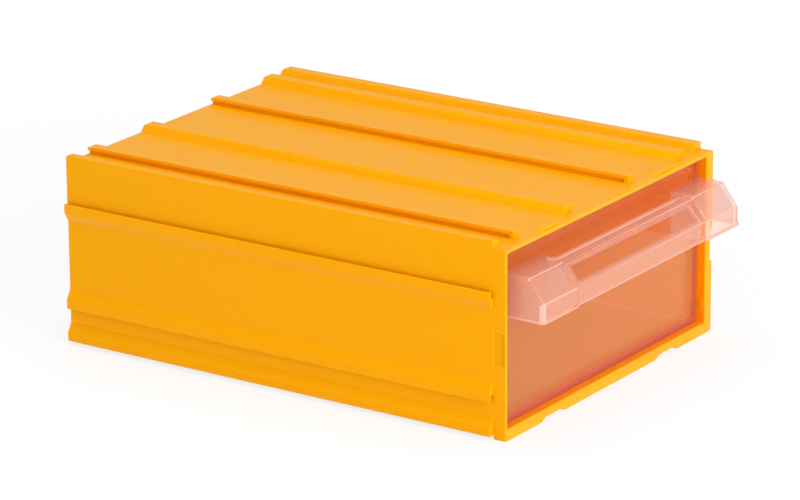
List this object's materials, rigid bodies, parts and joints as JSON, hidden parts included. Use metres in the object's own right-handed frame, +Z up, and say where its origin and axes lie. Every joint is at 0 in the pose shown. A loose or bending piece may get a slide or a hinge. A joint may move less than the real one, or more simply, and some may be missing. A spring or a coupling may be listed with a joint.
{
  "type": "stackable drawer box",
  "caption": "Open-fronted plastic box with interlocking ribs on its top and side, holding a clear slide-out drawer with a raised finger handle.",
  "frame": {"origin": "middle of the bounding box's footprint, on the plane the box stands on", "axes": "+X to the right across the front, +Y from the front to the back, +Z up; the drawer opens towards -Y"},
  "size_m": [0.139, 0.1974, 0.0706],
  "materials": {
    "housing_plastic": "satin moulded yellow-orange",
    "clear_plastic": "clear, polished"
  },
  "bodies": {
    "housing": {"housing": "housing_plastic"},
    "drawer": {"drawer": "clear_plastic"}
  },
  "joints": [
    {"name": "drawer_slide", "type": "slide", "parent": "housing", "child": "drawer", "axis": [0, -1, 0], "range_m": [0, 0.15]}
  ]
}
